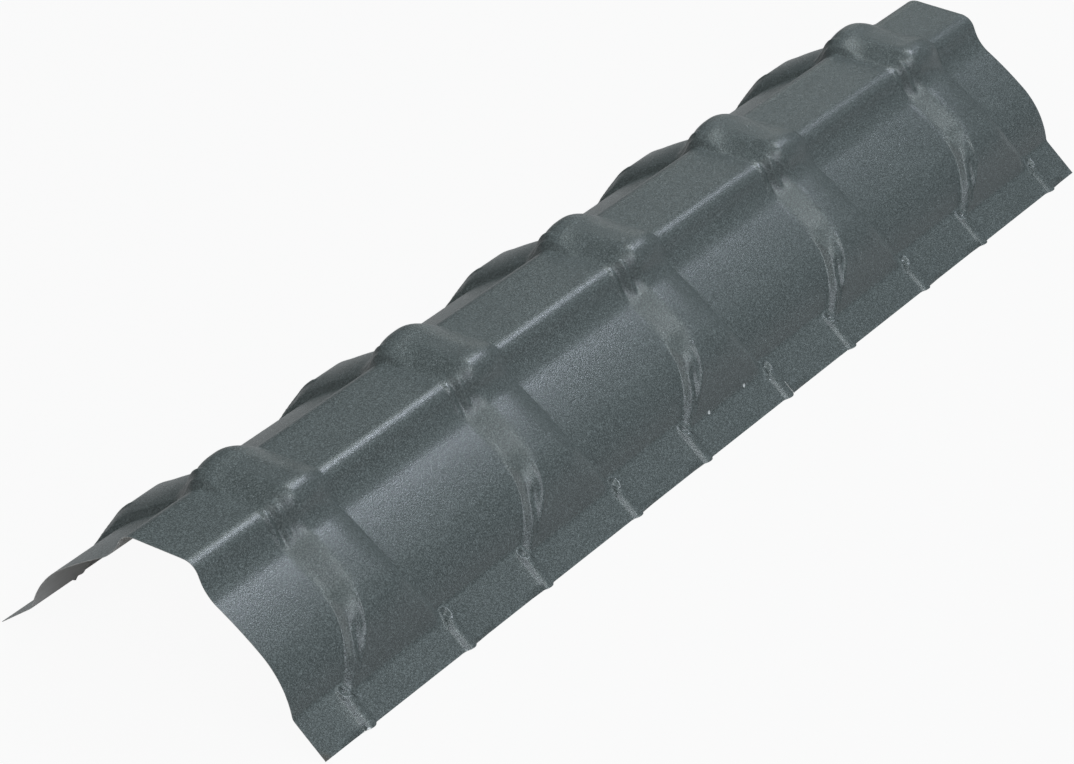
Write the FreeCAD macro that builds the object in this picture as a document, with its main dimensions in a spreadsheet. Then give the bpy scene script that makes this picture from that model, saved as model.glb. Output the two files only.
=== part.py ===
"""Pressed steel roof ridge cap: one sheet with a flat crown, ogee sides, pressed collars and beaded flanges.

The frame has X along the ridge, Y across it and Z up. The origin is midway along the cap, on the level of
the two flange edges that the cap stands on. Lengths are in millimetres and angles in degrees.
"""
import FreeCAD
import Part
import Sketcher

import math
import os

DRIVING_SIZES = [
    ("sheet_gauge", 0.5, "thickness of the coated sheet"),
    ("crown_height", 133.5, "top of the plain crown above the flange edges"),
    ("crown_half_width", 25.0, "half of the flat on top of the crown"),
    ("half_span", 163.0, "ridge line to the outer corner of a flange edge"),
    ("shoulder_radius", 16.0, "convex bend from the crown to the wall"),
    ("wall_angle", 64.0, "fall of the short wall below the shoulder"),
    ("wall_length", 6.0, "straight part of that wall"),
    ("throat_radius", 37.0, "concave bend from the wall to the slope"),
    ("slope_angle", 32.0, "fall of the straight slope"),
    ("bulge_radius", 92.0, "convex bend of the lower side"),
    ("foot_radius", 7.0, "concave bend from the bulge to the flange"),
    ("flange_angle", 39.0, "fall of the flange"),
    ("flange_length", 38.0, "straight part of the flange, down its slope"),
    ("cap_length", 1244.0, "length of the cut sheet along the ridge"),
    ("pitch", 250.0, "spacing of the collars along the ridge"),
    ("first_collar_at", 128.0, "near end of the sheet to the middle of the first collar"),
    ("collar_half_width", 40.0, "half of a collar's width on the crown"),
    ("collar_rise", 12.0, "height of a collar's arch above the plain sheet"),
    ("collar_foot_shift", 10.0, "how far a collar pushes the foot bend down the flange"),
    ("bead_offset", 69.0, "collar's middle to the beads on either side of it"),
    ("bead_half_width", 7.0, "half of a flange bead's width"),
    ("bead_rise", 3.0, "height of a flange bead"),
]

SHEET_NAME = "sizes"
ARCH_ANGLES = [-90, -60, -30, 0, 30, 60, 90]
BEAD_ANGLES = [-90, -45, 0, 45, 90]
FLARE_ANGLES = [30, 60]

START, END = 1, 2
X_AXIS_GEOMETRY, Y_AXIS_GEOMETRY, ORIGIN_POINT = -1, -2, 1


def make_sheet(doc):
    """The spreadsheet of driving dimensions, one named cell a row."""
    sheet = doc.addObject("Spreadsheet::Sheet", SHEET_NAME)
    for row, (alias, value, note) in enumerate(DRIVING_SIZES, start=1):
        sheet.set(f"A{row}", note)
        sheet.set(f"B{row}", str(value))
        sheet.setAlias(f"B{row}", alias)
    doc.recompute()
    return sheet


def along(point, angle, distance):
    """The point that lies a distance further down a fall of that angle."""
    fall = math.radians(angle)
    return point + FreeCAD.Vector(math.cos(fall), -math.sin(fall), 0) * distance


def outward(angle):
    """The unit normal of the sheet's outer face where it falls at that angle."""
    fall = math.radians(angle)
    return FreeCAD.Vector(math.sin(fall), math.cos(fall), 0)


def bulge_centre(sizes, slope_start, foot_centre):
    """Centre of the bulge: its circle touches the slope line and the foot bend's circle."""
    ahead = along(FreeCAD.Vector(), sizes.slope_angle, 1.0)
    base = slope_start - outward(sizes.slope_angle) * sizes.bulge_radius
    gap = base - foot_centre
    reach = sizes.bulge_radius + sizes.foot_radius
    half_b = gap.dot(ahead)
    root = math.sqrt(half_b * half_b - gap.dot(gap) + reach * reach)
    return base + ahead * (-half_b - root)


def section_layout(sizes, rise, foot_shift, bead):
    """Centres, radii and joints of the outer face of half a section, from the ridge line to the flange edge."""
    gauge = sizes.sheet_gauge
    crown_top = sizes.crown_height + rise
    shoulder_centre = FreeCAD.Vector(sizes.crown_half_width, sizes.crown_height - sizes.shoulder_radius, 0)
    shoulder_radius = sizes.shoulder_radius + rise
    throat_radius = sizes.throat_radius - rise
    wall_normal, slope_normal = outward(sizes.wall_angle), outward(sizes.slope_angle)
    flange_normal = outward(sizes.flange_angle)

    wall_start = shoulder_centre + wall_normal * shoulder_radius
    wall_end = along(wall_start, sizes.wall_angle, sizes.wall_length)
    throat_centre = wall_end + wall_normal * throat_radius
    slope_start = throat_centre - slope_normal * throat_radius

    edge_height = gauge * math.cos(math.radians(sizes.flange_angle))
    flange_end = FreeCAD.Vector(sizes.half_span, edge_height, 0) + flange_normal * bead
    flange_start = along(flange_end, sizes.flange_angle, foot_shift - sizes.flange_length)
    foot_centre = flange_start + flange_normal * sizes.foot_radius

    centre = bulge_centre(sizes, slope_start, foot_centre)
    bulge_normal = (foot_centre - centre).normalize()
    return {
        "crown": [FreeCAD.Vector(0, crown_top, 0), FreeCAD.Vector(sizes.crown_half_width, crown_top, 0)],
        "shoulder": (shoulder_centre, shoulder_radius),
        "wall": [wall_start, wall_end],
        "throat": (throat_centre, throat_radius),
        "slope": [slope_start, centre + slope_normal * sizes.bulge_radius],
        "bulge": (centre, sizes.bulge_radius),
        "hip_normal": bulge_normal,
        "foot": (foot_centre, sizes.foot_radius),
        "flange": [flange_start, flange_end],
    }


def arc_between(centre, radius, first, last):
    """An arc that runs counterclockwise from one point to another about a centre."""
    angles = [math.atan2(p.y - centre.y, p.x - centre.x) for p in (first, last)]
    return Part.ArcOfCircle(Part.Circle(centre, FreeCAD.Vector(0, 0, 1), radius), *angles)


def face_geometry(sizes, layout, inset):
    """The eight curves of one face of the sheet. The inner face is the outer one, inset by the gauge."""
    normals = {
        "crown": FreeCAD.Vector(0, 1, 0),
        "wall": outward(sizes.wall_angle),
        "slope": outward(sizes.slope_angle),
        "flange": outward(sizes.flange_angle),
    }
    ends = {
        name: [point - normals[name] * inset for point in layout[name]]
        for name in normals
    }
    centre, radius = layout["bulge"]
    hip = centre + layout["hip_normal"] * (radius - inset)
    return [
        Part.LineSegment(*ends["crown"]),
        arc_between(layout["shoulder"][0], layout["shoulder"][1] - inset, ends["wall"][0], ends["crown"][1]),
        Part.LineSegment(*ends["wall"]),
        arc_between(layout["throat"][0], layout["throat"][1] + inset, ends["wall"][1], ends["slope"][0]),
        Part.LineSegment(*ends["slope"]),
        arc_between(centre, radius - inset, hip, ends["slope"][1]),
        arc_between(layout["foot"][0], layout["foot"][1] + inset, hip, ends["flange"][0]),
        Part.LineSegment(*ends["flange"]),
    ]


CROWN, SHOULDER, WALL, THROAT, SLOPE, BULGE, FOOT, FLANGE = range(8)
INNER = 8
EDGE, RIDGE = 16, 17
TANGENT_JOINTS = [
    (CROWN, END, SHOULDER, END),
    (SHOULDER, START, WALL, START),
    (WALL, END, THROAT, START),
    (THROAT, END, SLOPE, START),
    (SLOPE, END, BULGE, END),
    (BULGE, START, FOOT, START),
    (FOOT, END, FLANGE, START),
]


def add_size(sketch, name, expression, *constraint):
    """A dimension of the sketch, driven by an expression on the sheet's cells."""
    value = sketch.evalExpression(expression)
    if constraint[0] == "Angle":
        value = math.radians(value)
    index = sketch.addConstraint(Sketcher.Constraint(*constraint, value))
    sketch.renameConstraint(index, name)
    sketch.setExpression(f"Constraints.{name}", expression)


def section_sketch(body, sizes, label, station, rise="0", foot_shift="0", bead="0"):
    """Half a section of the sheet at a station along X, as a closed outline one gauge thick."""
    sketch = body.newObject("Sketcher::SketchObject", label)
    planes = {plane.Role: plane for plane in body.Origin.OriginFeatures}
    sketch.AttachmentSupport = [(planes["YZ_Plane"], "")]
    sketch.MapMode = "FlatFace"
    sketch.setExpression("AttachmentOffset.Base.z", station)

    lifts = [sketch.evalExpression(expression) for expression in (rise, foot_shift, bead)]
    layout = section_layout(sizes, *lifts)
    outer = face_geometry(sizes, layout, 0.0)
    inner = face_geometry(sizes, layout, sizes.sheet_gauge)
    edge = Part.LineSegment(outer[FLANGE].EndPoint, inner[FLANGE].EndPoint)
    ridge = Part.LineSegment(inner[CROWN].StartPoint, outer[CROWN].StartPoint)
    sketch.addGeometry(outer + inner + [edge, ridge], False)

    joints = []
    for first, first_end, second, second_end in TANGENT_JOINTS:
        for face in (0, INNER):
            joints.append(Sketcher.Constraint("Tangent", face + first, first_end, face + second, second_end))
    for first, first_end, second, second_end in (
        (FLANGE, END, EDGE, START),
        (EDGE, END, INNER + FLANGE, END),
        (INNER + CROWN, START, RIDGE, START),
        (RIDGE, END, CROWN, START),
    ):
        joints.append(Sketcher.Constraint("Coincident", first, first_end, second, second_end))
    for arc in (SHOULDER, THROAT, BULGE, FOOT):
        joints.append(Sketcher.Constraint("Coincident", arc, 3, INNER + arc, 3))
    joints += [
        Sketcher.Constraint("Horizontal", CROWN),
        Sketcher.Constraint("Horizontal", INNER + CROWN),
        Sketcher.Constraint("PointOnObject", CROWN, START, Y_AXIS_GEOMETRY),
        Sketcher.Constraint("Vertical", RIDGE),
        Sketcher.Constraint("Parallel", FLANGE, INNER + FLANGE),
        Sketcher.Constraint("Perpendicular", FLANGE, EDGE),
    ]
    sketch.addConstraint(joints)

    cell = {alias: f"{SHEET_NAME}.{alias}" for alias, _, _ in DRIVING_SIZES}
    from_origin = (X_AXIS_GEOMETRY, ORIGIN_POINT)
    add_size(sketch, "crown_top", f"{cell['crown_height']} + ({rise})", "DistanceY", *from_origin, CROWN, START)
    add_size(sketch, "crown_flat", cell["crown_half_width"], "DistanceX", *from_origin, CROWN, END)
    for arc, name, outer_radius, sense in (
        (SHOULDER, "shoulder", f"{cell['shoulder_radius']} + ({rise})", "-"),
        (THROAT, "throat", f"{cell['throat_radius']} - ({rise})", "+"),
        (BULGE, "bulge", cell["bulge_radius"], "-"),
    ):
        add_size(sketch, f"{name}_outer", outer_radius, "Radius", arc)
        inner_radius = f"{outer_radius} {sense} {cell['sheet_gauge']}"
        add_size(sketch, f"{name}_inner", inner_radius, "Radius", INNER + arc)
    add_size(sketch, "foot_outer", cell["foot_radius"], "Radius", FOOT)
    for line, name in ((WALL, "wall"), (SLOPE, "slope"), (FLANGE, "flange")):
        add_size(sketch, f"{name}_fall", f"-{cell[name + '_angle']}", "Angle", line)
    add_size(sketch, "wall_run", cell["wall_length"], "Distance", WALL)
    add_size(sketch, "flange_run", f"{cell['flange_length']} - ({foot_shift})", "Distance", FLANGE)
    lift_out = f"({bead}) * sin({cell['flange_angle']})"
    lift_up = f"(({bead}) + {cell['sheet_gauge']}) * cos({cell['flange_angle']})"
    add_size(sketch, "edge_out", f"{cell['half_span']} + {lift_out}", "DistanceX", *from_origin, FLANGE, END)
    add_size(sketch, "edge_up", lift_up, "DistanceY", *from_origin, FLANGE, END)
    return sketch


def loft(body, label, sketches):
    """A smooth skin of sheet through a row of sections."""
    feature = body.newObject("PartDesign::AdditiveLoft", label)
    feature.Profile = sketches[0]
    feature.Sections = sketches[1:]
    feature.Ruled = False
    feature.Refine = False
    return feature


def strip(body, label, sketch, length, toward_start):
    """Plain sheet, drawn out from a section along the ridge."""
    feature = body.newObject("PartDesign::Pad", label)
    feature.Profile = sketch
    feature.setExpression("Length", length)
    feature.Reversed = toward_start
    feature.Refine = False
    return feature


def first_pitch(doc, body, sizes):
    """Half of the first pitch of the sheet: plain strips, beads, flares and the collar between them."""
    middle = "sizes.first_collar_at - 0.5 * sizes.cap_length"
    arch = []
    for angle in ARCH_ANGLES:
        arch.append(section_sketch(
            body, sizes, f"collar_section_{angle + 90}",
            station=f"{middle} + sizes.collar_half_width * sin({angle})",
            rise=f"sizes.collar_rise * cos({angle})",
            foot_shift="sizes.collar_foot_shift",
        ))
    pieces = [("collar", arch)]
    plain = []
    bead_reach = "(sizes.bead_offset + sizes.bead_half_width)"
    flare_run = "(sizes.bead_offset - sizes.bead_half_width - sizes.collar_half_width)"
    for side, name, last_arch, strip_length in (
        (-1, "fore", arch[0], f"sizes.first_collar_at - {bead_reach}"),
        (1, "aft", arch[-1], f"sizes.pitch - sizes.first_collar_at - {bead_reach}"),
    ):
        beads = []
        for angle in BEAD_ANGLES:
            beads.append(section_sketch(
                body, sizes, f"{name}_bead_section_{angle + 90}",
                station=f"{middle} + {side} * (sizes.bead_offset - sizes.bead_half_width * sin({angle}))",
                bead=f"sizes.bead_rise * cos({angle})",
            ))
        flares = [beads[-1]]
        for angle in FLARE_ANGLES:
            flares.append(section_sketch(
                body, sizes, f"{name}_flare_section_{angle}",
                station=f"{middle} + {side} * (sizes.collar_half_width + {flare_run} * cos({angle}))",
                foot_shift=f"sizes.collar_foot_shift * sin({angle})",
            ))
        flares.append(last_arch)
        pieces += [(f"{name}_flare", flares), (f"{name}_bead", beads)]
        plain.append((f"{name}_strip", beads[0], strip_length, side < 0))
    doc.recompute()

    for label, sketches in pieces:
        loft(body, label, sketches)
    for label, sketch, length, toward_start in plain:
        strip(body, label, sketch, length, toward_start)
    doc.recompute()


def far_end_cut(body, planes):
    """The square cut that ends the sheet at its length, through the last pitch."""
    sketch = body.newObject("Sketcher::SketchObject", "far_end_section")
    sketch.AttachmentSupport = [(planes["YZ_Plane"], "")]
    sketch.MapMode = "FlatFace"
    sketch.setExpression("AttachmentOffset.Base.z", "0.5 * sizes.cap_length")
    half_width = sketch.evalExpression("2 * sizes.half_span")
    height = sketch.evalExpression("2 * sizes.crown_height")
    corners = [
        FreeCAD.Vector(-half_width, -height, 0),
        FreeCAD.Vector(half_width, -height, 0),
        FreeCAD.Vector(half_width, height, 0),
        FreeCAD.Vector(-half_width, height, 0),
    ]
    sketch.addGeometry([Part.LineSegment(corners[i - 1], corners[i]) for i in range(4)], False)
    sketch.addConstraint([Sketcher.Constraint("Coincident", i - 1 if i else 3, END, i, START) for i in range(4)])
    cut = body.newObject("PartDesign::Pocket", "far_end_cut")
    cut.Profile = sketch
    cut.Reversed = True
    cut.setExpression("Length", "2 * sizes.pitch")
    cut.Refine = False
    return cut


def make_cap(doc, sizes):
    """One sheet: half of the first pitch, mirrored over the ridge, repeated along it and cut to length."""
    body = doc.addObject("PartDesign::Body", "ridge_cap")
    body.Label = "ridge_cap"
    origin = {item.Role: item for item in body.Origin.OriginFeatures}
    first_pitch(doc, body, sizes)

    mirror = body.newObject("PartDesign::Mirrored", "other_side")
    mirror.TransformMode = "Whole shape"
    mirror.MirrorPlane = (origin["XZ_Plane"], [""])
    mirror.Refine = False
    body.Tip = mirror
    doc.recompute()

    row = body.newObject("PartDesign::LinearPattern", "row_of_collars")
    row.TransformMode = "Whole shape"
    row.Direction = (origin["X_Axis"], [""])
    row.setExpression("Length", "(ceil(sizes.cap_length / sizes.pitch) - 1) * sizes.pitch")
    row.setExpression("Occurrences", "ceil(sizes.cap_length / sizes.pitch)")
    row.Refine = False
    body.Tip = row
    doc.recompute()

    row_volume = body.Shape.Volume
    body.Tip = far_end_cut(body, origin)
    doc.recompute()
    if body.Shape.Volume >= row_volume:
        raise RuntimeError("the cut at the far end removed nothing")
    return body


def check(doc, parts):
    """Stops the build if an object failed or a part is not one valid solid."""
    for item in doc.Objects:
        if {"Invalid", "Error"} & set(item.State):
            raise RuntimeError(f"{item.Label} failed: {item.State} {item.getStatusString()}")
    for part in parts:
        shape = part.Shape
        if shape.isNull() or not shape.isValid() or len(shape.Solids) != 1:
            raise RuntimeError(f"{part.Label} is not one valid solid")


def main():
    doc = FreeCAD.newDocument("ridge_cap")
    sizes = make_sheet(doc)
    parts = [make_cap(doc, sizes)]
    check(doc, parts)
    os.makedirs("parts", exist_ok=True)
    for part in parts:
        part.Shape.exportStep(f"parts/{part.Label}.step")
        box = part.Shape.BoundBox
        print(part.Label, "volume", round(part.Shape.Volume), "size", box.XLength, box.YLength, box.ZLength)


main()
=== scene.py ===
"""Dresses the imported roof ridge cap: one pressed, coated steel sheet on a pale studio floor.

The sheet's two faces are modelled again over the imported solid, with the puckers, folds, ribs and
eyelets that the press leaves. Lengths in the sheet's classes are millimetres, and the rest is metres.
"""
import logging
import math
from dataclasses import dataclass, field
from enum import IntEnum
from typing import Any, Sequence

import bmesh
import bpy
import numpy as np
from mathutils import Matrix, Vector


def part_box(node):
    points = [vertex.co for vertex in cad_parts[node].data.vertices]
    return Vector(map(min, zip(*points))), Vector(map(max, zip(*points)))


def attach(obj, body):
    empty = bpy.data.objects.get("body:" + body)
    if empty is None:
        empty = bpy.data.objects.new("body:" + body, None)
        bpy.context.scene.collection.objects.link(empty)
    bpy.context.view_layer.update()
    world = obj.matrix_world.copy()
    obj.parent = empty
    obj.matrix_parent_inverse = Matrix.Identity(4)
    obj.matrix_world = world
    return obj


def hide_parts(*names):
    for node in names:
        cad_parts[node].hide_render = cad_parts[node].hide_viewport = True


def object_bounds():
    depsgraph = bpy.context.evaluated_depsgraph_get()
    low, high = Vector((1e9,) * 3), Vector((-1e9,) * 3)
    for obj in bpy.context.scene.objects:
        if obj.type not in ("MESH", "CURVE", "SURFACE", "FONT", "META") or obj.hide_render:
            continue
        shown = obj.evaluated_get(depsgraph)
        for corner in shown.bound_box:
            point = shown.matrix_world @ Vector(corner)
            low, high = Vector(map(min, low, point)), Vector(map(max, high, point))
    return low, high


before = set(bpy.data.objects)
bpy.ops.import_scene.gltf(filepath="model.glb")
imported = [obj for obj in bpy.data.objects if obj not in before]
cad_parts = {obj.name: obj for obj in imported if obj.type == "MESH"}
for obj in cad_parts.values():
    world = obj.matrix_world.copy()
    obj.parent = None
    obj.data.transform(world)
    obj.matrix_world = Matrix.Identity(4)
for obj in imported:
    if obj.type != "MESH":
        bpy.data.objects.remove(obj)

LOG = logging.getLogger("ridge_cap_scene")
CAD_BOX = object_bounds()
NODE = "ridge_cap"
BODY = "root"
MM = 0.001

# Where the outer coat is marked, in millimetres from a collar's middle or a rib and down the sheet: two
# scuffs on a collar, and a pale painted highlight at the first rib's end on the flange edge
SCUFFED_COLLAR = 2
NEAR_SCUFF = -28.0
FAR_SCUFF = 29.0
SCUFF_RUN = 180.0
# A painted highlight, not a nick: the pale spot at the first rib's end on the flange edge
PAINTED_EDGE_GLINT = -4.0

Colour = tuple[float, float, float]


class Finish(IntEnum):
    """Which finish a face of the sheet takes, as the number of its material slot."""

    OUTER = 0
    BACK = 1
    CUT = 2


def smooth(value: np.ndarray, low: float, high: float) -> np.ndarray:
    """Eases from 0 to 1 as a value goes from low to high.

    Args:
        value: The values to ease.
        low: Where the ease starts.
        high: Where it ends.

    Returns:
        The eased values, from 0 to 1.
    """
    share = np.clip((value - low) / (high - low), 0.0, 1.0)
    return share * share * (3.0 - 2.0 * share)


def ridge(distance: np.ndarray, width: float) -> np.ndarray:
    """A rounded ridge of height 1 and the given half width, by distance from its crest."""
    return np.exp(-((distance / width) ** 2))


def eased_ramp(share: np.ndarray, ease: float) -> np.ndarray:
    """A straight ramp from 0 to 1 that is rounded at its foot and its top.

    Args:
        share: The share of the way up the ramp.
        ease: How much of the way is rounded at either end.

    Returns:
        The height at each share, from 0 to 1.
    """
    share = np.clip(share, 0.0, 1.0)
    foot = np.minimum(share, ease) ** 2 / (2.0 * ease)
    middle = np.clip(share, ease, 1.0 - ease) - ease
    left = np.minimum(1.0 - share, ease)
    top = 0.5 * ease - left**2 / (2.0 * ease)
    return (foot + middle + top) / (1.0 - ease)


def highest_nearby(grid: np.ndarray, reach: int) -> np.ndarray:
    """The highest value within some steps of each point of a grid, along rows and columns.

    Args:
        grid: The values.
        reach: How many steps to look each way.

    Returns:
        A grid of the same shape.
    """
    for axis in (0, 1):
        pad = [(reach, reach) if number == axis else (0, 0) for number in (0, 1)]
        padded = np.pad(grid, pad, mode="edge")
        count = grid.shape[axis]
        shifted = [np.take(padded, range(step, step + count), axis=axis) for step in range(2 * reach + 1)]
        grid = np.max(shifted, axis=0)
    return grid


@dataclass
class HalfSection:
    """Half of the plain sheet's outer face, from the ridge line down to the flange edge, in millimetres."""

    half_span: float
    crown_height: float
    gauge: float = 0.5
    crown_half_width: float = 24.8
    shoulder_radius: float = 16.2
    wall_fall: float = 64.7
    wall_run: float = 4.8
    throat_radius: float = 40.0
    slope_fall: float = 29.1
    slope_end_fall: float = 36.7
    bulge_end_fall: float = 76.5
    foot_radius: float = 6.8
    flange_fall: float = 39.0
    flange_run: float = 38.9
    flange_top_run: float = 11.0
    stretch_rows: tuple[int, ...] = (4, 12, 3, 11, 9, 24, 6, 8, 4)
    run: np.ndarray = field(init=False)
    point: np.ndarray = field(init=False)
    fall: np.ndarray = field(init=False)
    bulge_end: float = field(init=False, default=0.0)
    flange_start: float = field(init=False, default=0.0)

    def __post_init__(self) -> None:
        """Lays out the rows of the section."""
        self._lay_out()

    @staticmethod
    def _turn(start: float, end: float) -> np.ndarray:
        """Where an arc of radius 1 ends, seen from where it starts.

        Args:
            start: The fall at its start, in degrees.
            end: The fall at its end, in degrees.

        Returns:
            The step from its start to its end, across and up.
        """
        first, last = math.radians(start), math.radians(end)
        sense = 1.0 if end > start else -1.0
        return sense * np.array([math.sin(last) - math.sin(first), math.cos(last) - math.cos(first)])

    @staticmethod
    def ahead(fall: float) -> np.ndarray:
        """The unit step down a fall of that many degrees."""
        return np.array([math.cos(math.radians(fall)), -math.sin(math.radians(fall))])

    def _solve_side(self) -> tuple[float, float]:
        """Finds the slope's run and the bulge's radius that bring the flange edge to its place.

        Returns:
            The run of the gently curved slope and the radius of the bulge.
        """
        top = np.array([self.crown_half_width, self.crown_height])
        fixed = self.shoulder_radius * self._turn(0.0, self.wall_fall)
        fixed = fixed + self.wall_run * self.ahead(self.wall_fall)
        fixed = fixed + self.throat_radius * self._turn(self.wall_fall, self.slope_fall)
        fixed = fixed + self.foot_radius * self._turn(self.bulge_end_fall, self.flange_fall)
        fixed = fixed + self.flange_run * self.ahead(self.flange_fall)
        edge = np.array([self.half_span, self.gauge * math.cos(math.radians(self.flange_fall))])
        bend = math.radians(self.slope_end_fall - self.slope_fall)
        slope = self._turn(self.slope_fall, self.slope_end_fall) / bend
        bulge = self._turn(self.slope_end_fall, self.bulge_end_fall)
        solved = np.linalg.solve(np.column_stack([slope, bulge]), edge - top - fixed)
        return float(solved[0]), float(solved[1])

    def _lay_out(self) -> None:
        """Fills in the rows: their distance down the sheet, their place and the sheet's fall there."""
        slope_run, bulge_radius = self._solve_side()
        slope_radius = slope_run / math.radians(self.slope_end_fall - self.slope_fall)
        stretches = [
            (0.0, 0.0, self.crown_half_width),
            (0.0, self.wall_fall, self.shoulder_radius),
            (self.wall_fall, self.wall_fall, self.wall_run),
            (self.wall_fall, self.slope_fall, self.throat_radius),
            (self.slope_fall, self.slope_end_fall, slope_radius),
            (self.slope_end_fall, self.bulge_end_fall, bulge_radius),
            (self.bulge_end_fall, self.flange_fall, self.foot_radius),
            (self.flange_fall, self.flange_fall, self.flange_top_run),
            (self.flange_fall, self.flange_fall, self.flange_run - self.flange_top_run),
        ]
        runs, falls = [0.0], [0.0]
        points = [np.array([0.0, self.crown_height])]
        ends = []
        for (first, last, size), count in zip(stretches, self.stretch_rows):
            start = points[-1]
            start_run = runs[-1]
            for step in range(1, count + 1):
                share = step / count
                if first == last:
                    points.append(start + size * share * self.ahead(first))
                    runs.append(start_run + size * share)
                    falls.append(first)
                else:
                    fall = first + (last - first) * share
                    points.append(start + size * self._turn(first, fall))
                    runs.append(start_run + size * math.radians(abs(fall - first)))
                    falls.append(fall)
            ends.append(runs[-1])
        self.run, self.fall = np.array(runs), np.radians(falls)
        self.point = np.array(points)
        self.bulge_end, self.flange_start = ends[5], ends[6]

    @property
    def normal(self) -> np.ndarray:
        """The outward normal of each row, across and up."""
        return np.column_stack([np.sin(self.fall), np.cos(self.fall)])

    @property
    def flange_share(self) -> np.ndarray:
        """How far down the flange each row lies, from 0 at its foot bend to 1 at its edge."""
        return np.clip((self.run - self.flange_start) / self.flange_run, 0.0, 1.0)


@dataclass
class Collar:
    """One raised band across the sheet, flared where it comes down the lower bulge, in millimetres."""

    rise: float = 12.0
    corner_rise: float = 3.2
    corner_run: float = 34.0
    corner_width: float = 8.0
    half_width: float = 40.0
    ramp: float = 38.0
    folded_ramp: float = 28.0
    foot_ramp: float = 9.5
    ramp_narrows_from: float = 110.0
    ramp_folds_from: float = 134.0
    ramp_folded_at: float = 147.0
    facet_from: float = 166.0
    foot_bend: float = 0.15
    far_fullness: float = 0.58
    soft_reach: float = 0.80
    soft_ease: float = 0.30
    soft_ends_from: float = 112.0
    soft_crown_reach: float = 26.0
    flare: float = 27.0
    flare_from: float = 126.0
    flare_past_bulge: float = 2.0
    flare_power: float = 1.5
    foot_shift: float = 10.0
    crease_reach: float = 19.0
    foot_blend_run: float = 42.0

    def flare_at(self, run: np.ndarray, section: HalfSection) -> np.ndarray:
        """How much further out the collar's foot line lies at each distance down the sheet."""
        reach = section.flange_start + self.flare_past_bulge - self.flare_from
        return self.flare * np.clip((run - self.flare_from) / reach, 0.0, 1.0) ** self.flare_power

    def ramp_at(self, run: np.ndarray) -> np.ndarray:
        """The width of either ramp: full at first, then folded, then a steep facet.

        Args:
            run: Distance down the sheet from the ridge line.

        Returns:
            The width at each distance.
        """
        folded = self.folded_ramp - self.ramp
        facet = self.foot_ramp - self.folded_ramp
        narrowed = self.ramp + folded * smooth(run, self.ramp_narrows_from, self.ramp_folds_from)
        return narrowed + facet * smooth(run, self.ramp_folded_at, self.facet_from)

    def near_rise(self, share: np.ndarray, run: np.ndarray, side: int) -> np.ndarray:
        """The near ramp's height: an even slope on the side towards -Y, and a crisp bend elsewhere.

        Args:
            share: The share of the way up the ramp.
            run: Distance down the sheet from the ridge line.
            side: 1 for the side towards +Y and -1 for the other.

        Returns:
            The height at each point, from 0 to 1.
        """
        crisp = np.sqrt(np.sin(0.5 * math.pi * share) * smooth(share, 0.0, self.foot_bend))
        soft = eased_ramp(share / self.soft_reach, self.soft_ease)
        if side > 0:
            bend = smooth(run, 0.0, self.soft_crown_reach)
        else:
            bend = smooth(run, self.soft_ends_from, self.ramp_folds_from)
        return soft + (crisp - soft) * bend

    def height_share(self, along: np.ndarray, run: np.ndarray, section: HalfSection, side: int) -> np.ndarray:
        """The collar's height as a share of its full rise.

        Args:
            along: Distance along the ridge from the collar's middle.
            run: Distance down the sheet from the ridge line.
            section: The plain section.
            side: 1 for the side towards +Y and -1 for the other.

        Returns:
            The share at each point, from 0 to 1.
        """
        reach = self.half_width + self.flare_at(run, section)
        ramp = self.ramp_at(run)
        near = np.clip((along + reach) / ramp, 0.0, 1.0)
        far = np.clip((reach - along) / ramp, 0.0, 1.0)
        near_side = self.near_rise(near, run, side)
        steeper = smooth(run, 0.0, self.soft_crown_reach) if side < 0 else 0.0
        fullness = 1.0 - (1.0 - self.far_fullness) * steeper
        far_side = np.sin(0.5 * math.pi * far) ** fullness * np.sqrt(smooth(far, 0.0, self.foot_bend))
        return near_side * far_side

    def follow(self, along: np.ndarray, section: HalfSection, outer: float, relax: float) -> np.ndarray:
        """Bends straight sample columns so that they follow the edges of the ramps down the flare.

        Args:
            along: Distance of each straight column from the collar's middle.
            section: The plain section.
            outer: Distance from the middle beyond which columns stay straight.
            relax: How far down the flange the columns come back to straight.

        Returns:
            The distance of each column from the collar's middle, by section row.
        """
        run = section.run
        bent = 1.0 - smooth(run, section.flange_start, section.flange_start + relax)
        foot = self.half_width + self.flare_at(run, section) * bent
        width = np.maximum(0.5 * self.ramp_at(run), self.crease_reach)
        half_up = foot - 0.5 * self.ramp - (width - 0.5 * self.ramp) * bent
        inner = self.half_width - 0.5 * self.ramp
        straight = (-outer, -self.half_width, -inner, inner, self.half_width, outer)
        edge = np.full_like(foot, outer)
        knots = np.column_stack([-edge, -foot, -half_up, half_up, foot, edge])
        return np.array([np.interp(along, straight, row) for row in knots])

    def shift(self, along: np.ndarray, run: np.ndarray, section: HalfSection, side: int) -> np.ndarray:
        """How the collar moves each point of the plain section, across and up.

        Args:
            along: Distance along the ridge from the collar's middle, one column a station.
            run: Distance down the sheet, one row a section row.
            section: The plain section.
            side: 1 for the side towards +Y and -1 for the other.

        Returns:
            The move of each point.
        """
        share = self.height_share(along, run, section, side)
        blend = smooth(section.run, section.bulge_end - self.foot_blend_run, section.bulge_end)[:, None]
        down = HalfSection.ahead(section.flange_fall) * self.foot_shift
        rise = self.rise + self.corner_rise * ridge(section.run - self.corner_run, self.corner_width)
        lifted = section.normal * rise[:, None] * (1.0 - blend)
        slid = down[None, :] * blend * (1.0 - section.flange_share)[:, None]
        return share[:, :, None] * (lifted + slid)[:, None, :]


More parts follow.
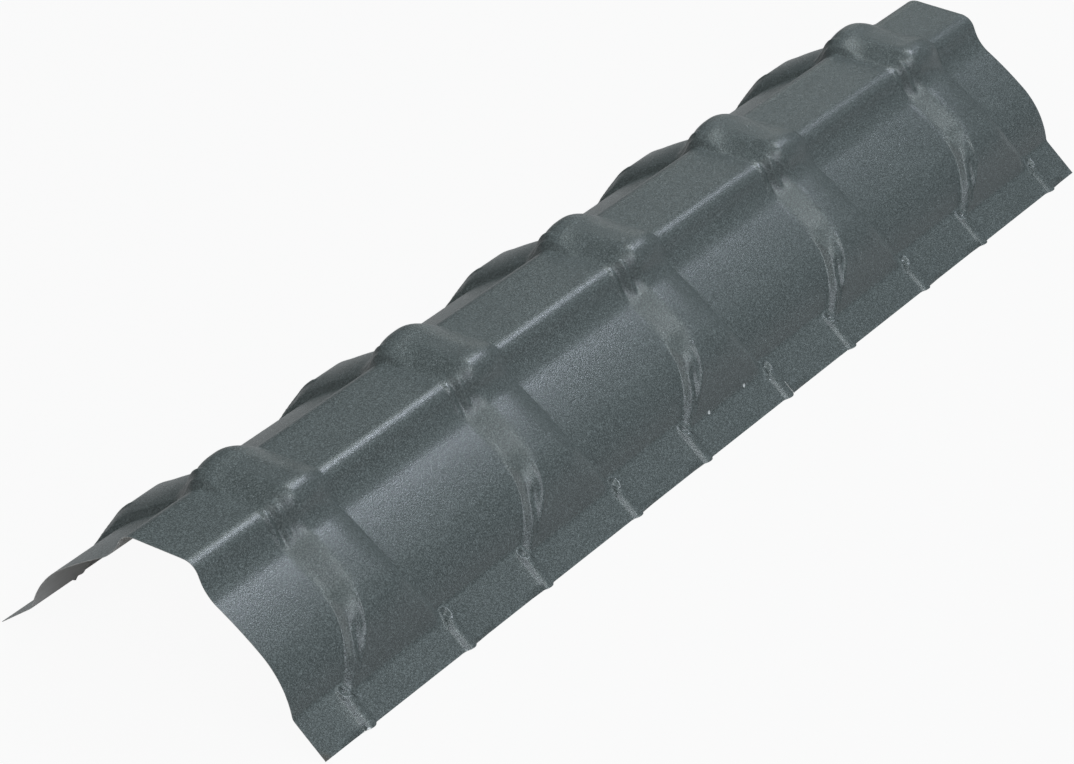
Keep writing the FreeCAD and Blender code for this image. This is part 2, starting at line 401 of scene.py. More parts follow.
@dataclass(frozen=True)
class Crease:
    """One crease of a flare. Its path pairs distances down the sheet with offsets from the ramp's foot."""

    path: tuple[tuple[float, float], ...]
    height: float
    width: float
    fade: float = 6.0

    def lift(self, along: np.ndarray, run: np.ndarray, foot_line: np.ndarray) -> np.ndarray:
        """How far the crease stands out, at each point.

        Args:
            along: Distance along the ridge from the collar's middle.
            run: Distance down the sheet from the ridge line.
            foot_line: Where the ramp's foot lies at each distance down the sheet.

        Returns:
            The lift of each point along the sheet's normal.
        """
        runs, offsets = zip(*self.path)
        start, end = runs[0], runs[-1]
        window = smooth(run, start, start + self.fade) * smooth(-run, -end, self.fade - end)
        crest = foot_line + np.interp(run, runs, offsets)
        return self.height * window * ridge(along - crest, self.width)


@dataclass
class Puckers:
    """The creases that the press leaves on the near ramp of a collar, in millimetres."""

    shoulder_places: tuple[float, ...] = (-37.0, -27.0)
    shoulder_height: float = 1.5
    shoulder_width: float = 2.4
    shoulder_groove: float = 4.4
    shoulder_from: float = 28.0
    shoulder_to: float = 68.0
    shoulder_groove_share: float = 0.5
    shoulder_sharp_above: float = 10.0
    shoulder_sharp_below: float = 6.0
    shoulder_odds: float = 0.35
    wander: float = 0.7
    lean: float = 0.03
    crease_odds: float = 0.2
    creases: tuple[Crease, ...] = (
        Crease(((146.0, 3.6), (162.0, 4.4), (188.0, 3.8)), 1.10, 2.2),
        Crease(((143.0, 9.6), (158.0, 9.0), (174.0, 8.0)), -1.20, 2.3),
        Crease(((126.0, 18.5), (148.0, 20.0), (155.0, 16.5), (160.0, 13.0), (167.0, 11.0)), 1.40, 2.2),
    )

    def lift(
        self, along: np.ndarray, run: np.ndarray, collar: Collar, section: HalfSection, odds: np.ndarray
    ) -> np.ndarray:
        """How far the creases stand out of the collar.

        Args:
            along: Distance along the ridge from the collar's middle.
            run: Distance down the sheet from the ridge line.
            collar: The collar that the creases are on.
            section: The plain section.
            odds: Numbers from -1 to 1 that vary this collar's creases.

        Returns:
            The lift of each point along the sheet's normal.
        """
        middle = 0.5 * (self.shoulder_from + self.shoulder_to)
        starts = smooth(run, self.shoulder_from, middle - self.shoulder_sharp_above)
        window = starts * smooth(-run, -self.shoulder_to, -middle - self.shoulder_sharp_below)
        lift = np.zeros(np.broadcast(along, run).shape)
        for place, odd in zip(self.shoulder_places, odds):
            crest = along - place - self.wander * odd - self.lean * odd * (run - middle)
            height = self.shoulder_height * (1.0 + self.shoulder_odds * odd)
            groove = ridge(crest - self.shoulder_groove, self.shoulder_width)
            raised = ridge(crest, self.shoulder_width) - self.shoulder_groove_share * groove
            lift = lift + height * window * raised
        foot_line = -collar.half_width - collar.flare_at(run, section)
        for crease, odd in zip(self.creases, np.resize(odds, len(self.creases))):
            lift = lift + (1.0 + self.crease_odds * odd) * crease.lift(along, run, foot_line)
        return lift


@dataclass
class FlangeRib:
    """A short rib pressed up across the flange, with a dimpled eyelet at its head, in millimetres."""

    offset: float = 69.0
    half_width: float = 7.0
    rise: float = 3.0
    fullness: float = 0.72
    edge_reach: float = 2.0
    head_from: float = 0.5
    head_to: float = 7.0
    eyelet_run: float = 5.0
    eyelet_depth: float = 3.2
    eyelet_radius: float = 3.3
    rim_rise: float = 1.0
    rim_radius: float = 5.6
    rim_width: float = 1.8

    def profile(self, along: np.ndarray) -> np.ndarray:
        """The rib's height across its width, from 0 to 1."""
        share = np.clip(np.abs(along) / self.half_width, 0.0, 1.0)
        return np.cos(0.5 * math.pi * share) ** self.fullness

    def shift(self, along: np.ndarray, run: np.ndarray, section: HalfSection) -> np.ndarray:
        """How the rib moves each point of the section, across and up.

        Args:
            along: Distance along the ridge from the rib's middle.
            run: Distance down the sheet from the ridge line.
            section: The plain section.

        Returns:
            The move of each point.
        """
        head = smooth(run - section.flange_start, self.head_from, self.head_to)
        lift = self.rise * self.profile(along) * head
        down = HalfSection.ahead(section.flange_fall)
        out = self.edge_reach * self.profile(along) * section.flange_share[:, None] ** 3
        return lift[:, :, None] * section.normal[:, None, :] + out[:, :, None] * down[None, None, :]

    def eyelet(self, along: np.ndarray, run: np.ndarray, section: HalfSection) -> np.ndarray:
        """The dimple at the rib's head and the ring raised round it.

        Args:
            along: Distance along the ridge from the rib's middle.
            run: Distance down the sheet from the ridge line.
            section: The plain section.

        Returns:
            The lift of each point along the flange's normal.
        """
        apart = np.hypot(along, run - section.flange_start - self.eyelet_run)
        ring = self.rim_rise * ridge(apart - self.rim_radius, self.rim_width)
        return ring - self.eyelet_depth * ridge(apart, self.eyelet_radius)


@dataclass
class RidgeSheet:
    """The whole cap: one pressed sheet with an outer face, a back face and cut edges."""

    length: float
    section: HalfSection
    collar: Collar = field(default_factory=Collar)
    puckers: Puckers = field(default_factory=Puckers)
    rib: FlangeRib = field(default_factory=FlangeRib)
    pitch: float = 250.0
    first_collar_at: float = 128.0
    strip_step: float = 16.0
    rib_step: float = 1.6
    crease_step: float = 0.95
    top_step: float = 3.6
    far_step: float = 2.0
    crease_from: float = 42.0
    top_half_width: float = 21.0
    rib_margin: float = 8.0
    column_relax: float = 14.0
    back_passes: int = 4
    least_gap: float = 0.3
    sway: float = 0.25
    ripple_share: float = 0.6
    ripple_along: float = 61.0
    ripple_down: float = 37.0
    ripple_start: float = 0.6
    ripple_turn: float = 1.3
    swell_along: float = 143.0
    swell_down: float = 90.0
    swell_turn: float = 0.8
    sway_from: float = 10.0
    sway_full: float = 60.0
    odds_count: int = 4
    sharp_angle: float = 60.0
    seed: int = 11

    @classmethod
    def from_frame(cls) -> "RidgeSheet":
        """The sheet whose length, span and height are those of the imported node.

        Returns:
            The sheet.
        """
        low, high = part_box(NODE)
        collar, rib = Collar(), FlangeRib()
        length = (high.x - low.x) / MM
        flange = math.radians(HalfSection.flange_fall)
        half_span = high.y / MM - rib.rise * math.sin(flange)
        section = HalfSection(half_span=half_span, crown_height=high.z / MM - collar.rise)
        return cls(length=length, section=section, collar=collar, rib=rib)

    @property
    def collar_places(self) -> list[float]:
        """Distance of each collar's middle from the near end."""
        count = math.ceil(self.length / self.pitch)
        return [self.first_collar_at + self.pitch * number for number in range(count)]

    def stations(self) -> np.ndarray:
        """Where the sheet is sampled along the ridge: closely at the collars, sparsely on plain strips.

        Returns:
            An odd number of distances from the near end, in rising order.
        """
        rib_from, rib_to = self.rib.offset - self.rib_margin, self.rib.offset + self.rib_margin
        spans = (
            (-rib_to, -rib_from, self.rib_step),
            (-rib_from, -self.crease_from, self.rib_step),
            (-self.crease_from, -self.top_half_width, self.crease_step),
            (-self.top_half_width, self.top_half_width, self.top_step),
            (self.top_half_width, rib_from, self.far_step),
            (rib_from, rib_to, self.rib_step),
        )
        places = [0.0]
        for middle in self.collar_places:
            count = max(2, round((middle - rib_to - places[-1]) / self.strip_step))
            places.extend(np.linspace(places[-1], middle - rib_to, count + 1)[1:])
            for first, last, step in spans:
                count = round((last - first) / step)
                places.extend(np.linspace(middle + first, middle + last, count + 1)[1:])
        tail = 3 if len(places) % 2 else 4
        places.extend(np.linspace(places[-1], self.length, tail)[1:])
        return np.array(places)

    def columns(self) -> np.ndarray:
        """Where each station lies along the ridge at each section row, following the collars' flares.

        Returns:
            Distances from the near end, by row and station.
        """
        stations = self.stations()
        places = np.repeat(stations[None, :], len(self.section.run), axis=0)
        outer = self.rib.offset + self.rib_margin
        for middle in self.collar_places:
            inside = np.abs(stations - middle) <= outer + 1e-6
            bent = self.collar.follow(stations[inside] - middle, self.section, outer, self.column_relax)
            places[:, inside] = middle + bent
        return places

    def half_face(self, places: np.ndarray, side: int) -> np.ndarray:
        """One side of the outer face.

        Args:
            places: Distances of the stations along the ridge, by row.
            side: 1 for the side towards +Y and -1 for the other.

        Returns:
            The points across and up, by row and station.
        """
        section = self.section
        run = section.run[:, None]
        normal = section.normal[:, None, :]
        cross = np.repeat(section.point[:, None, :], places.shape[1], axis=1)
        cross = cross + normal * self.unevenness(places, run, side)[:, :, None]
        relief = np.zeros(places.shape)
        flange_normal = section.normal[-1]
        odds = np.random.default_rng(self.seed + side)
        for middle in self.collar_places:
            along = places - middle
            cross = cross + self.collar.shift(along, run, section, side)
            draws = odds.uniform(-1.0, 1.0, self.odds_count)
            relief = relief + self.puckers.lift(along, run, self.collar, section, draws)
            for end in (-1.0, 1.0):
                from_rib = along - end * self.rib.offset
                cross = cross + self.rib.shift(from_rib, run, section)
                cross = cross + self.rib.eyelet(from_rib, run, section)[:, :, None] * flange_normal
        return (cross + normal * relief[:, :, None]) * np.array([side, 1.0])

    def unevenness(self, places: np.ndarray, run: np.ndarray, side: int) -> np.ndarray:
        """The slow sway of thin sheet, which fades towards the ridge line.

        Args:
            places: Distances of the stations along the ridge, by row.
            run: Distance down the sheet from the ridge line.
            side: 1 for the side towards +Y and -1 for the other.

        Returns:
            The lift of each point along the sheet's normal.
        """
        ripple = np.sin(places / self.ripple_along + self.ripple_turn * side)
        ripple = ripple * np.sin(run / self.ripple_down + self.ripple_start)
        swell = np.sin(places / self.swell_along + self.swell_turn * side) * np.sin(run / self.swell_down)
        fade = smooth(run, self.sway_from, self.sway_full)
        return self.sway * (self.ripple_share * ripple + swell) * fade

    def spot(self, along: float, run: float) -> Vector:
        """The point of the outer face, on the side towards -Y, that is nearest to a place on the sheet.

        Args:
            along: Distance from the near end.
            run: Distance down the sheet from the ridge line.

        Returns:
            The point, in metres.
        """
        places = self.columns()
        outer = self.half_face(places, -1)
        row = int(np.argmin(np.abs(self.section.run - run)))
        station = int(np.argmin(np.abs(places[row] - along)))
        across, up = outer[row, station]
        return Vector((places[row, station] - 0.5 * self.length, across, up)) * MM

    def grids(self) -> tuple[np.ndarray, np.ndarray]:
        """The outer face from one flange edge over the ridge to the other, and the back face under it.

        Returns:
            The points of both in millimetres, by station and row. The back has every second of them.
        """
        places = self.columns()
        left, right = self.half_face(places, 1), self.half_face(places, -1)
        along = np.concatenate([places[::-1], places[1:]], axis=0) - 0.5 * self.length
        outer = np.swapaxes(np.dstack([along, np.concatenate([right[::-1], left[1:]], axis=0)]), 0, 1)
        return outer, self.back_grid(outer)

    def back_grid(self, outer: np.ndarray) -> np.ndarray:
        """The back face, set far enough under the outer face that it shows through nowhere.

        Args:
            outer: The outer face's points.

        Returns:
            The back face's points, one for every second point of the outer face each way.
        """
        half = self.section.normal
        turned = half[:0:-1] * (-1.0, 1.0)
        inward = np.zeros((1, outer.shape[1], 3))
        inward[0, :, 1:] = -np.concatenate([turned, half], axis=0)
        back = (outer + inward * self.section.gauge)[::2, ::2]
        for _ in range(self.back_passes):
            gap = np.sum((self.filled_in(back, outer.shape) - outer) * inward, axis=2)
            short = highest_nearby(np.maximum(self.least_gap - gap, 0.0), 1)
            back = back + inward[:, ::2] * short[::2, ::2, None]
        return back

    @staticmethod
    def filled_in(coarse: np.ndarray, shape: tuple[int, ...]) -> np.ndarray:
        """Fills in a coarser grid with a point halfway between each two of its points.

        Args:
            coarse: The coarser grid's points.
            shape: The shape of the finer grid.

        Returns:
            The finer grid.
        """
        fine = np.zeros(shape)
        fine[::2, ::2] = coarse
        fine[1::2, ::2] = 0.5 * (coarse[:-1] + coarse[1:])
        fine[:, 1::2] = 0.5 * (fine[:, :-2:2] + fine[:, 2::2])
        return fine

    def faces(self, outer: tuple[int, int]) -> tuple[list[tuple[int, ...]], list[int]]:
        """Joins the outer grid, a back grid of every second point and the cut edges between them.

        Args:
            outer: How many stations and rows the outer grid has.

        Returns:
            The faces as vertex numbers, and the finish of each.
        """
        stations, rows = outer
        top = np.arange(stations * rows).reshape(stations, rows)
        shape = ((stations + 1) // 2, (rows + 1) // 2)
        under = np.arange(shape[0] * shape[1]).reshape(shape) + stations * rows
        made: list[tuple[int, ...]] = []
        finishes: list[int] = []
        for grid, finish, turn in ((top, Finish.OUTER, 1), (under, Finish.BACK, -1)):
            corners = np.stack([grid[:-1, :-1], grid[1:, :-1], grid[1:, 1:], grid[:-1, 1:]], axis=2)
            quads = corners.reshape(-1, 4)[:, ::turn]
            made.extend(map(tuple, quads.tolist()))
            finishes.extend([int(finish)] * len(quads))
        rims = (
            (top[0, :], under[0, :]),
            (top[-1, ::-1], under[-1, ::-1]),
            (top[::-1, 0], under[::-1, 0]),
            (top[:, -1], under[:, -1]),
        )
        for above, below in rims:
            for step in range(len(below) - 1):
                first = 2 * step
                rim = [*above[first:first + 3], below[step + 1], below[step]]
                made.append(tuple(int(number) for number in rim))
                finishes.append(int(Finish.CUT))
        return made, finishes

    def build(self) -> bpy.types.Object:
        """Makes the sheet's mesh as one closed shell.

        Returns:
            The sheet's object, with no materials yet.
        """
        grid, back = self.grids()
        points = np.concatenate([grid.reshape(-1, 3), back.reshape(-1, 3)]) * MM
        points[:, 2] = np.maximum(points[:, 2], 0.0)
        made, finishes = self.faces(grid.shape[:2])
        mesh = bpy.data.meshes.new("pressed_sheet")
        mesh.from_pydata(points.tolist(), [], made)
        mesh.polygons.foreach_set("material_index", finishes)
        shell = bmesh.new()
        shell.from_mesh(mesh)
        bmesh.ops.recalc_face_normals(shell, faces=shell.faces)
        shell.to_mesh(mesh)
        shell.free()
        mesh.polygons.foreach_set("use_smooth", [True] * len(mesh.polygons))
        mesh.set_sharp_from_angle(angle=math.radians(self.sharp_angle))
        sheet = bpy.data.objects.new("pressed_sheet", mesh)
        bpy.context.scene.collection.objects.link(sheet)
        return sheet

    def dress(self, sheet: bpy.types.Object, coats: Sequence["Coat"]) -> None:
        """Gives the sheet its finishes and sets it in the frame.

        Args:
            sheet: The sheet's object.
            coats: One finish for each member of Finish, in order.
        """
        for coat in coats:
            sheet.data.materials.append(coat.material())
        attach(sheet, BODY)
        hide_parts(NODE)


@dataclass(frozen=True)
class Wire:
    """A shader value that adds Math nodes as it is used in an expression."""

    bench: "NodeBench"
    socket: bpy.types.NodeSocket

    def _math(self, operation: str, first: Any, second: Any) -> "Wire":
        """The result of a Math node on two values."""
        return self.bench.add("ShaderNodeMath", {"operation": operation}, {0: first, 1: second})

    def __add__(self, other: Any) -> "Wire":
        """This value plus another."""
        return self._math("ADD", self, other)

    def __radd__(self, other: Any) -> "Wire":
        """Another value plus this one."""
        return self._math("ADD", other, self)

    def __sub__(self, other: Any) -> "Wire":
        """This value less another."""
        return self._math("SUBTRACT", self, other)

    def __rsub__(self, other: Any) -> "Wire":
        """Another value less this one."""
        return self._math("SUBTRACT", other, self)

    def __mul__(self, other: Any) -> "Wire":
        """This value times another."""
        return self._math("MULTIPLY", self, other)

    def __rmul__(self, other: Any) -> "Wire":
        """Another value times this one."""
        return self._math("MULTIPLY", other, self)

    def above(self, low: float, high: float) -> "Wire":
        """Eases from 0 to 1 as this value goes from low to high."""
        settings = {"interpolation_type": "SMOOTHSTEP"}
        return self.bench.add("ShaderNodeMapRange", settings, {0: self, 1: low, 2: high})


class NodeBench:
    """One material's or world's node tree, and the only place where its nodes are made."""

    def __init__(self, tree: bpy.types.NodeTree) -> None:
        """Starts on an empty tree."""
        self.tree = tree
        tree.nodes.clear()

    def add(self, kind: str, settings: dict[str, Any], inputs: dict[Any, Any], output: Any = 0) -> Wire:
        """Adds a node.

        Args:
            kind: Blender's name for the node's type.
            settings: The node's own settings, which are set first.
            inputs: Values or wires for its sockets, by name or number.
            output: The socket to return, by name or number.

        Returns:
            A wire from that socket.
        """
        node = self.tree.nodes.new(kind)
        for name, value in settings.items():
            setattr(node, name, value)
        for name, value in inputs.items():
            if isinstance(value, Wire):
                self.tree.links.new(value.socket, node.inputs[name])
            else:
                node.inputs[name].default_value = value
        return Wire(self, node.outputs[output])

    def finish(self, kind: str, shader: Wire) -> None:
        """Adds the output node and links the shader to its surface."""
        node = self.tree.nodes.new(kind)
        self.tree.links.new(shader.socket, node.inputs["Surface"])

    def place(self) -> Wire:
        """The place on the object, in metres."""
        return self.add("ShaderNodeTexCoord", {}, {}, "Object")

    def noise(self, place: Wire, size: float, detail: float, rough: float = 0.5) -> Wire:
        """Noise from 0 to 1 whose blotches are about the given size in metres."""
        inputs = {"Vector": place, "Scale": 1.0 / size, "Detail": detail, "Roughness": rough}
        return self.add("ShaderNodeTexNoise", {}, inputs, "Fac")

    def mix(self, share: Any, first: Any, second: Any) -> Wire:
        """A colour between two colours."""
        inputs = {0: share, 6: self.colour(first), 7: self.colour(second)}
        return self.add("ShaderNodeMix", {"data_type": "RGBA"}, inputs, 2)

    @staticmethod
    def colour(value: Any) -> Any:
        """A colour with its alpha added, or the wire as it is."""
        return value if isinstance(value, Wire) else (*value, 1.0)

    def stretch(self, place: Wire, scale: Colour) -> Wire:
        """The place with each axis stretched."""
        return self.add("ShaderNodeVectorMath", {"operation": "MULTIPLY"}, {0: place, 1: scale})

    def apart(self, place: Wire, point: Vector) -> Wire:
        """The distance from a point of the object, in metres."""
        settings = {"operation": "DISTANCE"}
        return self.add("ShaderNodeVectorMath", settings, {0: place, 1: tuple(point)}, "Value")

    def bump(self, height: Wire, strength: float, distance: float) -> Wire:
        """A normal that follows a height."""
        inputs = {"Height": height, "Strength": strength, "Distance": distance}
        return self.add("ShaderNodeBump", {}, inputs, "Normal")


@dataclass(frozen=True)
class Coat:
    """A finish of the sheet."""

    name: str
    base: Colour
    roughness: float

    def material(self) -> bpy.types.Material:
        """Makes the finish's material.

        Returns:
            The material.
        """
        material = bpy.data.materials.new(self.name)
        material.use_nodes = True
        bench = NodeBench(material.node_tree)
        bench.finish("ShaderNodeOutputMaterial", self.shader(bench))
        return material

    def shader(self, bench: NodeBench) -> Wire:
        """The finish's shader, which each finish gives."""
        raise NotImplementedError


@dataclass(frozen=True)
class GrainedCoat(Coat):
    """The outer coat: matt dark grey-green paint with a fine pearly grain, a few scuffs and one painted
    highlight at a rib's end.
    """

    light: Colour = (0.156, 0.180, 0.178)
    # Pale colour of the scuffs and of the painted highlight at the first rib's end
    scuff_and_glint: Colour = (0.62, 0.64, 0.63)
    stain: Colour = (0.115, 0.090, 0.066)
    grain_size: float = 0.0013
    grain_range: tuple[float, float] = (0.39, 0.66)
    grain_share: float = 0.68
    grain_gloss: float = 0.16
    fleck_size: float = 0.0014
    fleck_range: tuple[float, float] = (0.86, 0.99)
    fleck_share: float = 0.60
    fleck_gloss: float = 0.08
    fleck_height: float = 0.6
    mottle_size: float = 0.06
    mottle_share: float = 0.10
    mottle_gloss: float = 0.06
    bump_strength: float = 0.60
    bump_depth: float = 0.0004
    ior: float = 1.48
    scuff_and_glint_spots: tuple[Vector, ...] = ()
    spot_radius: float = 0.0021
    spot_core: float = 0.55
    spot_ragged: float = 0.9
    stained_corner: Vector = Vector((0.0, 0.0, 0.0))
    stain_reach: float = 0.012
    stain_share: float = 0.4

    def shader(self, bench: NodeBench) -> Wire:
        """Grain, pearl flecks and soft mottling in the paint, with its texture as bump.

        Args:
            bench: The material's node tree.

        Returns:
            The shader.
        """
        place = bench.place()
        grain = bench.noise(place, self.grain_size, 2.0, 0.6)
        mottle = bench.noise(place, self.mottle_size, 3.0)
        spacing = {"Vector": place, "Scale": 1.0 / self.fleck_size}
        cells = bench.add("ShaderNodeTexVoronoi", {}, spacing, "Color")
        flecks = bench.add("ShaderNodeSeparateColor", {}, {0: cells}, 0).above(*self.fleck_range)
        share = grain.above(*self.grain_range) * self.grain_share
        share = share + flecks * self.fleck_share + mottle * self.mottle_share
        colour = bench.mix(share, self.base, self.light)
        near_corner = bench.apart(place, self.stained_corner) + (mottle - 0.5) * self.stain_reach
        clean = near_corner.above(0.0, self.stain_reach)
        colour = bench.mix(self.stain_share - clean * self.stain_share, colour, self.stain)
        # Pale spots: two real scuffs, and one painted highlight at the first rib's end on the flange edge
        for point in self.scuff_and_glint_spots:
            ragged = bench.apart(place, point) + (grain - 0.5) * (self.spot_ragged * self.spot_radius)
            mark = 1.0 - ragged.above(self.spot_core * self.spot_radius, self.spot_radius)
            colour = bench.mix(mark, colour, self.scuff_and_glint)
        roughness = self.roughness + (grain - 0.5) * self.grain_gloss - flecks * self.fleck_gloss
        roughness = roughness + (mottle - 0.5) * self.mottle_gloss
        normal = bench.bump(grain + flecks * self.fleck_height, self.bump_strength, self.bump_depth)
        inputs = {"Base Color": colour, "Roughness": roughness, "Normal": normal, "IOR": self.ior}
        return bench.add("ShaderNodeBsdfPrincipled", {}, inputs, "BSDF")


@dataclass(frozen=True)
class BackCoat(Coat):
    """The back coat: thin pale primer with faint roller streaks across the coil."""

    streak: Colour = (0.58, 0.57, 0.53)
    streak_size: float = 0.006
    streak_stretch: Colour = (0.06, 1.0, 1.0)
    streak_range: tuple[float, float] = (0.3, 0.75)
    streak_share: float = 0.55
    blotch_size: float = 0.035
    blotch_share: float = 0.3
    blotch_gloss: float = 0.14
    pore_size: float = 0.0015
    bump_strength: float = 0.15
    bump_depth: float = 0.0002

    def shader(self, bench: NodeBench) -> Wire:
        """Streaks and faint blotches in a thin primer.

        Args:
            bench: The material's node tree.

        Returns:
            The shader.
        """
        place = bench.place()
        streaks = bench.noise(bench.stretch(place, self.streak_stretch), self.streak_size, 3.0, 0.6)
        blotches = bench.noise(place, self.blotch_size, 4.0)
        share = streaks.above(*self.streak_range) * self.streak_share + blotches * self.blotch_share
        colour = bench.mix(share, self.base, self.streak)
        roughness = self.roughness + (blotches - 0.5) * self.blotch_gloss
        pores = bench.noise(place, self.pore_size, 2.0)
        normal = bench.bump(pores, self.bump_strength, self.bump_depth)
        inputs = {"Base Color": colour, "Roughness": roughness, "Normal": normal}
        return bench.add("ShaderNodeBsdfPrincipled", {}, inputs, "BSDF")


@dataclass(frozen=True)
class CutEdge(Coat):
    """The sheared edge of the sheet: bare zinc and steel with dull patches."""

    dull: Colour = (0.32, 0.32, 0.31)
    dull_range: tuple[float, float] = (0.35, 0.7)
    patch_size: float = 0.004
    patch_gloss: float = 0.3
    metallic: float = 0.7

    def shader(self, bench: NodeBench) -> Wire:
        """Bare metal that is bright where it was sheared and dull where it broke.

        Args:
            bench: The material's node tree.

        Returns:
            The shader.
        """
        patches = bench.noise(bench.place(), self.patch_size, 3.0)
        colour = bench.mix(patches.above(*self.dull_range), self.base, self.dull)
        roughness = self.roughness + (patches - 0.5) * self.patch_gloss
        inputs = {"Base Color": colour, "Roughness": roughness, "Metallic": self.metallic}
        return bench.add("ShaderNodeBsdfPrincipled", {}, inputs, "BSDF")


@dataclass(frozen=True)
class SoftBox:
    """A rectangular studio lamp that faces the object."""

    name: str
    towards: Colour
    distance: float
    size: tuple[float, float]
    power: float
    tint: Colour = (1.0, 1.0, 1.0)

    def place(self, target: Vector) -> None:
        """Sets the lamp up, aimed at a point.

        Args:
            target: The point that the lamp faces.
        """
        lamp = bpy.data.lights.new(self.name, "AREA")
        lamp.shape = "RECTANGLE"
        lamp.size, lamp.size_y = self.size
        lamp.energy = self.power
        lamp.color = self.tint
        holder = bpy.data.objects.new(self.name, lamp)
        direction = Vector(self.towards).normalized()
        holder.location = target + direction * self.distance
        holder.rotation_mode = "QUATERNION"
        holder.rotation_quaternion = (-direction).to_track_quat("-Z", "Y")
        bpy.context.scene.collection.objects.link(holder)


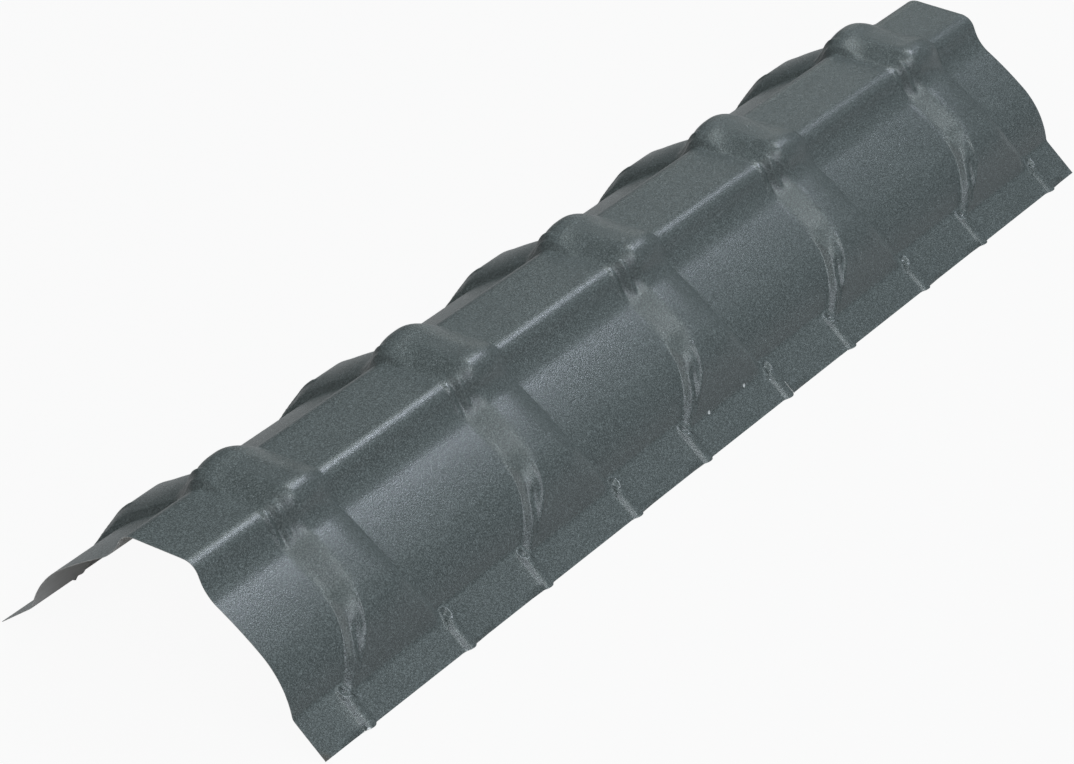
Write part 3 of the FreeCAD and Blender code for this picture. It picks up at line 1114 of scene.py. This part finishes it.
@dataclass(frozen=True)
class Studio:
    """The pale floor, the soft light and the camera."""

    floor_colour: Colour = (0.27, 0.27, 0.27)
    floor_size: float = 60.0
    floor_white: float = 0.94
    reflected_white: float = 0.28
    sky_high: Colour = (0.118, 0.118, 0.122)
    sky_low: Colour = (0.032, 0.030, 0.033)
    sky_range: tuple[float, float] = (-0.1, 0.9)
    azimuth: float = -57.16
    elevation: float = 30.28
    roll: float = 2.17
    lens: float = 138.36
    sensor_width: float = 36.0
    view_depth: float = 100.0
    eye: tuple[float, float, float] = (-2.728, -1.703, 1.868)
    lamps: tuple[SoftBox, ...] = (
        SoftBox("slope_glow", (0.61, -0.09, 0.79), 4.0, (0.8, 0.8), 42.0, (0.78, 0.83, 1.0)),
        SoftBox("far_high", (0.47, 0.0, 0.88), 4.0, (1.8, 1.8), 46.0, (0.91, 1.0, 0.97)),
        SoftBox("side_high", (-0.05, -0.58, 0.81), 4.0, (1.2, 1.2), 42.0, (0.89, 0.98, 1.0)),
        SoftBox("near_high", (-0.38, -0.25, 0.88), 4.0, (1.8, 1.8), 12.5, (0.92, 1.0, 0.97)),
        SoftBox("near_low", (-0.86, -0.05, 0.50), 4.0, (1.8, 1.8), 32.0, (0.92, 0.97, 1.0)),
        SoftBox("fold_glow", (-0.38, -0.70, 0.60), 4.0, (1.6, 1.4), 38.0, (0.86, 0.89, 1.0)),
        SoftBox("crest_rim", (0.84, 0.48, 0.24), 4.0, (1.2, 0.7), 3.0, (0.95, 1.0, 0.97)),
    )

    def build_floor(self, level: float) -> bpy.types.Object:
        """Lays the pale floor, which shows near white and keeps the object's shadow.

        Args:
            level: The floor's height.

        Returns:
            The floor.
        """
        half = 0.5 * self.floor_size
        corners = [(-half, -half, level), (half, -half, level), (half, half, level), (-half, half, level)]
        mesh = bpy.data.meshes.new("studio_floor")
        mesh.from_pydata(corners, [], [(0, 1, 2, 3)])
        material = bpy.data.materials.new("studio_floor")
        material.use_nodes = True
        bench = NodeBench(material.node_tree)
        matt = bench.add("ShaderNodeBsdfDiffuse", {}, {"Color": (*self.floor_colour, 1.0)})
        white = bench.add("ShaderNodeEmission", {}, {"Color": (1.0, 1.0, 1.0, 1.0), "Strength": 1.0})
        shader = bench.add("ShaderNodeMixShader", {}, {0: self.white_share(bench), 1: matt, 2: white})
        bench.finish("ShaderNodeOutputMaterial", shader)
        mesh.materials.append(material)
        floor = bpy.data.objects.new("studio_floor", mesh)
        bpy.context.scene.collection.objects.link(floor)
        return floor

    def white_share(self, bench: NodeBench) -> Wire:
        """How white the floor shows: most to the camera, less in reflections, and not at all as light.

        Args:
            bench: The floor's node tree.

        Returns:
            The share of white.
        """
        camera = bench.add("ShaderNodeLightPath", {}, {}, "Is Camera Ray")
        glossy = bench.add("ShaderNodeLightPath", {}, {}, "Is Glossy Ray")
        passing = bench.add("ShaderNodeLightPath", {}, {}, "Is Transmission Ray")
        return camera * self.floor_white + (glossy + passing).above(0.0, 1.0) * self.reflected_white

    def build_sky(self) -> None:
        """Lights the room softly, more from above than from the horizon."""
        world = bpy.data.worlds.new("studio_room")
        bpy.context.scene.world = world
        world.use_nodes = True
        bench = NodeBench(world.node_tree)
        direction = bench.add("ShaderNodeTexCoord", {}, {}, "Generated")
        height = bench.add("ShaderNodeSeparateXYZ", {}, {0: direction}, "Z").above(*self.sky_range)
        colour = bench.mix(height, self.sky_low, self.sky_high)
        shader = bench.add("ShaderNodeBackground", {}, {"Color": colour, "Strength": 1.0})
        bench.finish("ShaderNodeOutputWorld", shader)

    def build_camera(self) -> None:
        """Sets the camera where the object is seen from the near end, above the visible side."""
        data = bpy.data.cameras.new("camera")
        data.lens = self.lens
        data.sensor_width = self.sensor_width
        data.clip_end = self.view_depth
        camera = bpy.data.objects.new("camera", data)
        turn = math.radians(self.azimuth)
        rise = math.radians(self.elevation)
        back = Vector((math.sin(turn) * math.cos(rise), -math.cos(turn) * math.cos(rise), math.sin(rise)))
        level = (-back).to_track_quat("-Z", "Y").to_matrix()
        tilt = Matrix.Rotation(math.radians(self.roll), 3, "Z")
        camera.matrix_world = Matrix.Translation(Vector(self.eye)) @ (level @ tilt).to_4x4()
        bpy.context.scene.collection.objects.link(camera)
        bpy.context.scene.camera = camera

    def build(self, low: Vector, high: Vector) -> None:
        """Builds the whole studio round the object.

        Args:
            low: The object's lowest corner.
            high: The object's highest corner.
        """
        self.build_floor(low.z)
        self.build_sky()
        for lamp in self.lamps:
            lamp.place((low + high) / 2.0)
        self.build_camera()
        bpy.context.scene.view_settings.view_transform = "Standard"


def main() -> None:
    """Builds the sheet, dresses it and sets up the studio."""
    logging.basicConfig(level=logging.INFO, format="%(message)s")
    cap = RidgeSheet.from_frame()
    sheet = cap.build()
    sheet.data.calc_loop_triangles()
    LOG.info("%s: %d triangles", sheet.name, len(sheet.data.loop_triangles))
    edge = cap.section.run[-1]
    middle = cap.collar_places[SCUFFED_COLLAR]
    first_rib = cap.collar_places[0] - cap.rib.offset
    marks = (
        (middle + NEAR_SCUFF, SCUFF_RUN),
        # The pale spot at the first rib's end is a painted highlight.
        (middle + FAR_SCUFF, SCUFF_RUN),
        (first_rib + PAINTED_EDGE_GLINT, edge),
    )
    outer = GrainedCoat(
        name="grained_outer_coat",
        base=(0.060, 0.071, 0.069),
        roughness=0.32,
        scuff_and_glint_spots=tuple(cap.spot(along, run) for along, run in marks),
        stained_corner=cap.spot(0.0, edge),
    )
    back = BackCoat(name="back_primer", base=(0.74, 0.73, 0.69), roughness=0.55)
    cut = CutEdge(name="sheared_edge", base=(0.62, 0.62, 0.60), roughness=0.45)
    cap.dress(sheet, (outer, back, cut))
    LOG.info("%s: dressed with %d finishes", sheet.name, len(sheet.data.materials))
    Studio().build(*CAD_BOX)
    LOG.info("studio: floor, sky, lamps and camera")


if __name__ == "__main__":
    main()
